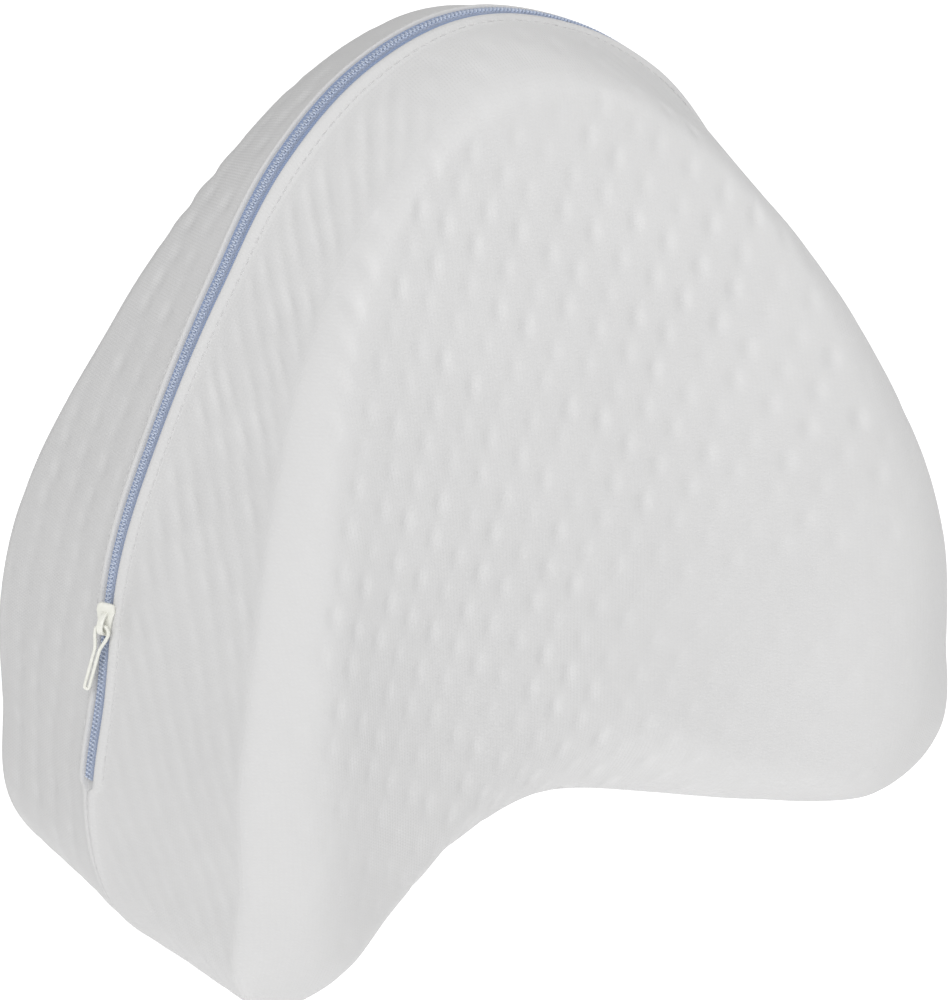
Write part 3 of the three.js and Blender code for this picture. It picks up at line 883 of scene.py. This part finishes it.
def tape_material():
    """Woven tape: fine diagonal ribs in two blues, darker than the teeth partly as painted shade
    from the hems beside it.
    """
    material, tree, shader = new_material("zip_tape_weave_painted_shade")
    place = node(
        tree,
        "ShaderNodeMapping",
        {"Vector": object_coordinates(tree), "Scale": (1 / MM, 1 / MM, 1 / MM)},
    ).outputs["Vector"]
    ribs = node(
        tree,
        "ShaderNodeTexWave",
        {"Vector": place, "Scale": wave_scale(RIB_PITCH), "Distortion": 0.5},
        bands_direction="DIAGONAL",
    ).outputs["Fac"]
    tree.links.new(two_tone(tree, ribs, TAPE_COLOURS_WITH_PAINTED_SHADE), shader.inputs["Base Color"])
    bump = node(tree, "ShaderNodeBump", {"Height": ribs, "Strength": 0.5, "Distance": 0.1 * MM})
    tree.links.new(bump.outputs["Normal"], shader.inputs["Normal"])
    shader.inputs["Roughness"].default_value = 0.8
    return material


def uneven_material(name, colours, pitch, roughness, bumps):
    """A moulded or painted finish with small uneven changes of colour and a faint grain."""
    material, tree, shader = new_material(name)
    grain = node(
        tree,
        "ShaderNodeTexNoise",
        {"Vector": object_coordinates(tree), "Scale": 1 / (pitch * MM), "Detail": 3.0},
    ).outputs["Fac"]
    tree.links.new(two_tone(tree, grain, colours), shader.inputs["Base Color"])
    bump = node(tree, "ShaderNodeBump", {"Height": grain, "Strength": bumps, "Distance": 0.1 * MM})
    tree.links.new(bump.outputs["Normal"], shader.inputs["Normal"])
    shader.inputs["Roughness"].default_value = roughness
    return material


# Pieces


def add_cover():
    points, faces, uv, painted_flank_shading = cover_surface()
    cover = add_mesh("cover", points, faces, uv)
    # painted highlight and shade on the dimples' flanks, for the cover's material
    layer = cover.data.attributes.new("painted_flank_shading", "FLOAT", "POINT")
    layer.data.foreach_set("value", painted_flank_shading.astype(np.float32))
    dress(cover, cover_material(), "cover", "pillow")


def tape_section(angle, side):
    """The corners of a tape's section, across and outwards."""
    inner = CHAIN_HALF + GAP
    outer = slot_half(angle) - GAP if abs(angle) < ZIP_END else TAPE_HALF_SIDE
    corners = [
        (inner + TAPE_SOFT, TAPE_BOTTOM),
        (outer - TAPE_SOFT, TAPE_BOTTOM),
        (outer, TAPE_BOTTOM + TAPE_SOFT),
        (outer, TAPE_TOP - TAPE_SOFT),
        (outer - TAPE_SOFT, TAPE_TOP),
        (inner + TAPE_SOFT, TAPE_TOP),
        (inner, TAPE_TOP - TAPE_SOFT),
        (inner, TAPE_BOTTOM + TAPE_SOFT),
    ]
    return [(side * y, lift) for y, lift in corners]


def add_tapes(material):
    for side, name in SIDES:
        strip = crest_strip(-ZIP_END, ZIP_END, lambda angle: tape_section(angle, side))
        tape = add_mesh(f"tape_{name}", *strip, smooth_angle=40)
        dress(tape, material, "zip_tape", f"zip_tape_{name}")


def add_teeth(material, name, start, end, pitch, offsets, size, core):
    """Beads at the offsets from the mid-plane in turn, on a core between its two sides."""
    angles = crest_steps(start, end, pitch)
    at, along, out = crest_frame(angles)
    middles = at + out * TOOTH_LIFT
    middles[:, 1] = [offsets[k % len(offsets)] for k in range(len(angles))]
    inner, outer = core
    section = [(inner, TAPE_BOTTOM), (outer, TAPE_BOTTOM), (outer, CORE_TOP), (inner, CORE_TOP)]
    strip = crest_strip(start, end, lambda angle: section)
    row = joined([beads(middles, along, out, size, TOOTH_SQUARE), strip])
    teeth = add_mesh(f"coil_{name}", *row, smooth_angle=60)
    dress(teeth, material, "zip_teeth", f"zip_teeth_{name}")


def add_coil(material):
    """The closed teeth past the slider, and an open row on each tape below it."""
    seat = SLIDER_ANGLE - SLIDER_COVER
    offsets, core = (-TOOTH_OFFSET, TOOTH_OFFSET), (-CORE_HALF, CORE_HALF)
    add_teeth(material, "closed", seat, ZIP_END, TOOTH_PITCH, offsets, TOOTH_SIZE, core)
    for side, name in SIDES:
        offsets, core = [side * OPEN_TOOTH_OFFSET], [side * y for y in OPEN_CORE]
        pitch, end = 2 * TOOTH_PITCH, seat - GAP
        add_teeth(material, name, -ZIP_END, end, pitch, offsets, OPEN_TOOTH_SIZE, core)


def slider_matrix():
    """The slider's frame: X outwards, Y to the front, Z up along the crest."""
    at, along, out = (Vector(v[0]) for v in crest_frame([SLIDER_ANGLE]))
    up = -along
    front = up.cross(out)
    basis = Matrix((out, front, up)).transposed().to_4x4()
    lean = Matrix.Rotation(math.radians(SLIDER_LEAN), 4, "Z")
    return Matrix.Translation(at + out * SLIDER_LIFT + front * SLIDER_FRONT) @ basis @ lean


def placed(shape, matrix):
    """A shape with its points moved and turned by the matrix."""
    points, faces = shape
    turned = [tuple(matrix @ Vector(p)) for p in points]
    return np.array(turned), faces


def quadratic(start, bend, end, steps):
    """Points of a curve towards end that is drawn to bend, without start."""
    t = np.linspace(0, 1, steps + 1)[1:, None]
    start, bend, end = (np.array(p, float) for p in (start, bend, end))
    return (1 - t) ** 2 * start + 2 * t * (1 - t) * bend + t * t * end


def slider_outline():
    """The plate's outline, across and up."""
    wide, tail, nose = SLIDER_WIDTH / 2, SLIDER_TAIL / 2, SLIDER_NOSE / 2
    low, high = -SLIDER_LENGTH / 2, SLIDER_LENGTH / 2
    foot, side = (tail - SLIDER_CORNER, low), (tail, low + SLIDER_CORNER)
    shoulder = (wide, SLIDER_SHOULDER)
    half = np.vstack(
        [
            [foot],
            quadratic(foot, (tail, low), side, SLIDER_CORNER_STEPS),
            quadratic(side, (tail, 0), shoulder, SLIDER_CURVE_STEPS),
            quadratic(shoulder, (wide, high), (nose, high), SLIDER_CURVE_STEPS),
        ]
    )
    return np.vstack([half, (half * (-1, 1))[::-1]])


def slider_plate():
    line = slider_outline()
    middle = line.mean(0)
    rings = []
    for layer in SLIDER_LAYERS:
        flat = (line - middle) * layer.scale + middle
        rings.append(np.column_stack([np.full(len(flat), layer.height), flat]))
    return swept(rings)


def squarer(value):
    """A sine or cosine moved away from 0, so that a round section becomes squarer."""
    return math.copysign(abs(value) ** BRIDGE_SQUARE, value)


def slider_bridge():
    """An arch along the plate, which holds the pull."""
    rings = []
    for k in range(BRIDGE_STEPS + 1):
        turn = math.pi * k / BRIDGE_STEPS
        reach = np.array([math.cos(turn), math.sin(turn)])
        middle = reach * (BRIDGE_LENGTH / 2 - BRIDGE_WALL / 2, BRIDGE_HEIGHT - BRIDGE_WALL / 2)
        normal = unit(reach * (1 / BRIDGE_LENGTH, 1 / (2 * BRIDGE_HEIGHT)))
        ring = []
        for s in range(BRIDGE_SIDES):
            way = 2 * math.pi * s / BRIDGE_SIDES
            across = squarer(math.cos(way)) * BRIDGE_WIDTH / 2
            thick = squarer(math.sin(way)) * BRIDGE_WALL / 2
            along, out = middle + normal * thick
            ring.append((out + BRIDGE_FOOT, across, along - BRIDGE_DROP))
        rings.append(ring)
    return swept(rings)


def add_slider(material):
    shape = joined([slider_plate(), slider_bridge()])
    slider = add_mesh("slider", *placed(shape, slider_matrix()), smooth_angle=35)
    dress(slider, material, "zip_metal", "zip_slider")


def pull_half_line():
    """Half of the loop's line, from its upper end to its tip, as pairs across and down."""
    line = []
    for k in range(PULL_TOP_STEPS + 1):
        turn = math.pi / 2 * k / PULL_TOP_STEPS
        line.append((PULL_HALF * math.sin(turn), PULL_HALF - PULL_HALF * math.cos(turn)))
    tip_starts = PULL_LENGTH - PULL_TIP_HALF
    for k in range(1, PULL_SIDE_STEPS + 1):
        depth = mix(PULL_HALF, tip_starts, k / PULL_SIDE_STEPS)
        narrow = smoothstep(depth, PULL_HALF, PULL_HALF + PULL_TAPER)
        line.append((mix(PULL_HALF, PULL_TIP_HALF, float(narrow)), depth))
    for k in range(1, PULL_TIP_STEPS + 1):
        turn = math.pi / 2 * k / PULL_TIP_STEPS
        tip = (PULL_TIP_HALF * math.cos(turn), tip_starts + PULL_TIP_HALF * math.sin(turn))
        line.append(tip)
    return line


def add_pull(material):
    """A loop of wire, wide round the bridge and narrow down to its tip."""
    swing = np.array(Matrix.Rotation(math.radians(-PULL_SWING), 3, "X"))
    down = swing @ unit(np.array([-PULL_DROP, 0, -PULL_LENGTH]))
    across = swing @ np.array([0.0, 1.0, 0.0])
    half_line = pull_half_line()
    line = half_line + [(-y, d) for y, d in half_line[-2:0:-1]]
    start = np.array([PULL_OUT, PULL_ASIDE, PULL_TOP])
    line = np.array([start + across * y + down * d for y, d in line])
    ahead = unit(np.roll(line, -1, axis=0) - np.roll(line, 1, axis=0))
    facing = unit(np.cross(down, across))
    ways = np.linspace(0, 2 * math.pi, PULL_WIRE_SIDES, endpoint=False)
    rings = []
    for point, direction in zip(line, ahead):
        aside = np.cross(direction, facing)
        circle = [math.cos(t) * aside + math.sin(t) * facing for t in ways]
        rings.append(point + PULL_WIRE * np.array(circle))
    shape = placed(swept(rings, closed=True), slider_matrix())
    pull = add_mesh("pull", *shape, smooth_angle=60)
    dress(pull, material, "zip_metal", "zip_pull")


def add_stitches(material):
    """The row of stitches that holds each hem."""
    rows = []
    for side, _ in SIDES:
        angles = crest_steps(-ZIP_END, ZIP_END, STITCH_PITCH)
        across = slot_half(angles) + STITCH_OUT
        middles = band_surface(angles, across, np.zeros(len(angles)), side)
        _, along, out = crest_frame(angles)
        aside = np.cross(out, along)
        middles = middles + out * STITCH_LIFT
        rows.append(beads(middles, aside, out, STITCH_SIZE, STITCH_SQUARE))
    stitches = add_mesh("hem_stitches", *joined(rows))
    dress(stitches, material, "cover")


# Stage, light and camera


def add_floor():
    size = FLOOR_HALF
    mesh = bpy.data.meshes.new("floor")
    corners = [(-size, -size, 0), (size, -size, 0), (size, size, 0), (-size, size, 0)]
    mesh.from_pydata(corners, [], [(0, 1, 2, 3)])
    floor = bpy.data.objects.new("floor", mesh)
    bpy.context.scene.collection.objects.link(floor)
    material, _, shader = new_material("floor_paper")
    shader.inputs["Base Color"].default_value = (FLOOR_GREY, FLOOR_GREY, FLOOR_GREY, 1)
    shader.inputs["Roughness"].default_value = 0.9
    shader.inputs["Specular IOR Level"].default_value = 0.0
    shader.inputs["Emission Color"].default_value = (1, 1, 1, 1)
    shader.inputs["Emission Strength"].default_value = FLOOR_GLOW
    mesh.materials.append(material)


def add_light(name, azimuth, elevation, power):
    """A round area light that faces the pillow."""
    turn, rise = math.radians(azimuth), math.radians(elevation)
    back = Vector(
        (math.sin(turn) * math.cos(rise), -math.cos(turn) * math.cos(rise), math.sin(rise))
    )
    data = bpy.data.lights.new(name, "AREA")
    data.shape = "DISK"
    data.size = LIGHT_SIZE
    data.energy = power
    light = bpy.data.objects.new(name, data)
    light.location = Vector(LIGHT_TARGET) + back * LIGHT_DISTANCE
    light.rotation_euler = back.to_track_quat("Z", "Y").to_euler()
    bpy.context.scene.collection.objects.link(light)


def add_camera():
    """The photograph's view."""
    place = Vector(CAMERA_PLACE) * MM
    target = Vector(CAMERA_TARGET) * MM
    roll = math.radians(CAMERA_ROLL)
    data = bpy.data.cameras.new("camera")
    data.lens = CAMERA_LENS
    data.sensor_width = CAMERA_SENSOR
    data.clip_start, data.clip_end = CAMERA_CLIP
    camera = bpy.data.objects.new("camera", data)
    look = (place - target).to_track_quat("Z", "Y")
    camera.rotation_mode = "QUATERNION"
    camera.rotation_quaternion = look @ Matrix.Rotation(roll, 3, "Z").to_quaternion()
    camera.location = place
    bpy.context.scene.collection.objects.link(camera)
    bpy.context.scene.camera = camera


def set_world():
    world = bpy.data.worlds.new("studio")
    world.use_nodes = True
    background = world.node_tree.nodes["Background"]
    background.inputs["Color"].default_value = (1, 1, 1, 1)
    background.inputs["Strength"].default_value = WORLD_STRENGTH
    bpy.context.scene.world = world
    bpy.context.scene.view_settings.view_transform = "Standard"


add_camera()
set_world()
add_floor()
for light in LIGHTS:
    add_light(*light)

add_cover()
add_tapes(tape_material())
add_coil(uneven_material("zip_teeth_nylon", TEETH_COLOURS, pitch=3.0, roughness=0.45, bumps=0.1))
metal = uneven_material("zip_metal_paint", METAL_COLOURS, pitch=2.0, roughness=0.35, bumps=0.15)
add_slider(metal)
add_pull(metal)
thread = uneven_material("stitch_thread", COVER_COLOURS, pitch=0.4, roughness=0.85, bumps=0.3)
add_stitches(thread)
